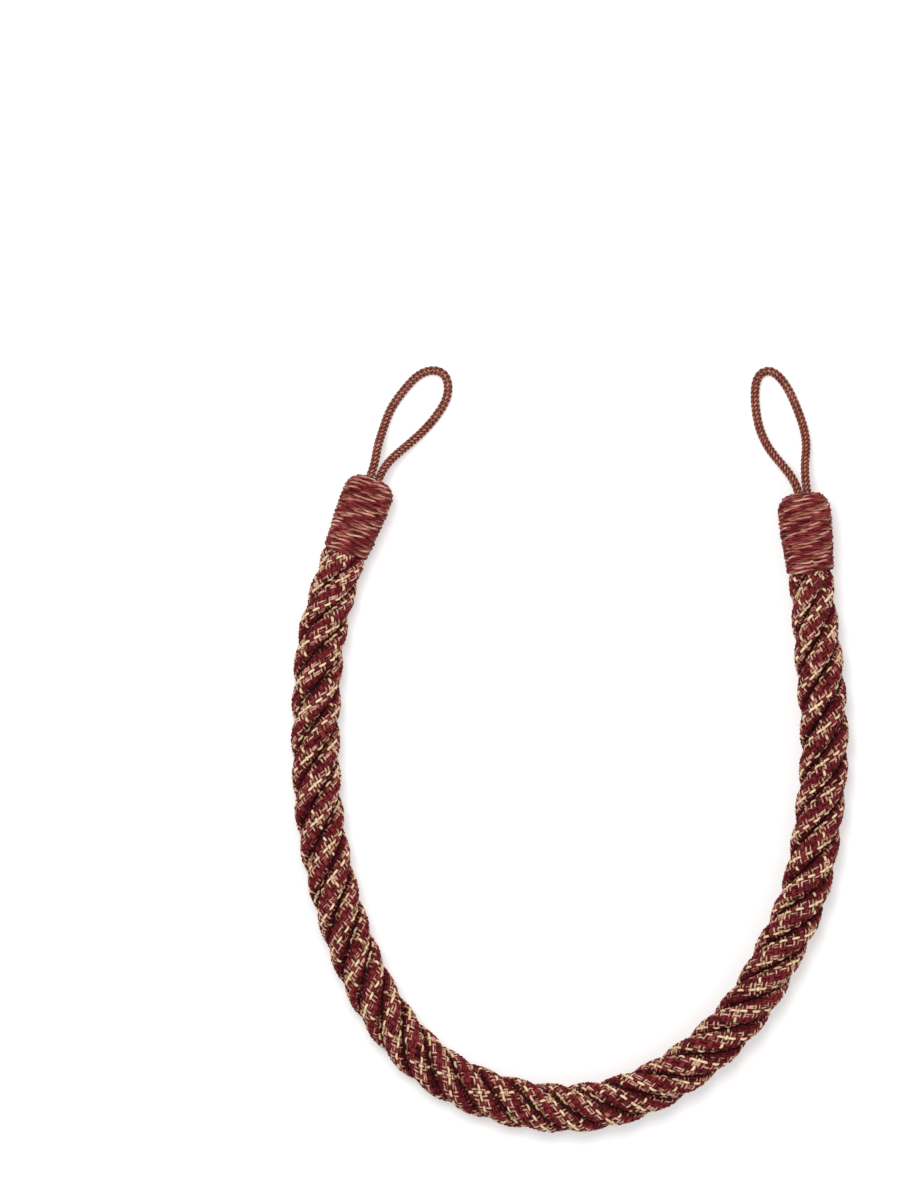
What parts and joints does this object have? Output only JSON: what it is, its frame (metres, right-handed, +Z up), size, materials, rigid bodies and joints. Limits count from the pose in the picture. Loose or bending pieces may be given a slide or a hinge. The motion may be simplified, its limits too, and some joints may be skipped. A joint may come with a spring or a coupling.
{
  "type": "rope curtain tieback",
  "caption": "Thick twisted rope tieback that holds a curtain open, lying in a U, with yarn-wound end caps and a thin hanging loop in each cap.",
  "frame": {"origin": "under the middle of the tieback's outer box, on the surface it lies on", "axes": "+Z up from that surface, +Y from the bend of the U towards its mouth and the hanging loops, +X from the left cap to the right one"},
  "size_m": [0.2791, 0.3834, 0.0263],
  "materials": {
    "rope_cloth": "matt burgundy, rose and cream woven yarn",
    "cap_yarn": "matt burgundy and rose marled yarn",
    "loop_cord": "matt tan and brown-red braid"
  },
  "bodies": {
    "root": {"rope": "rope_cloth", "cap_left": "cap_yarn", "cap_right": "cap_yarn", "loop_left": "loop_cord", "loop_right": "loop_cord"}
  },
  "joints": []
}
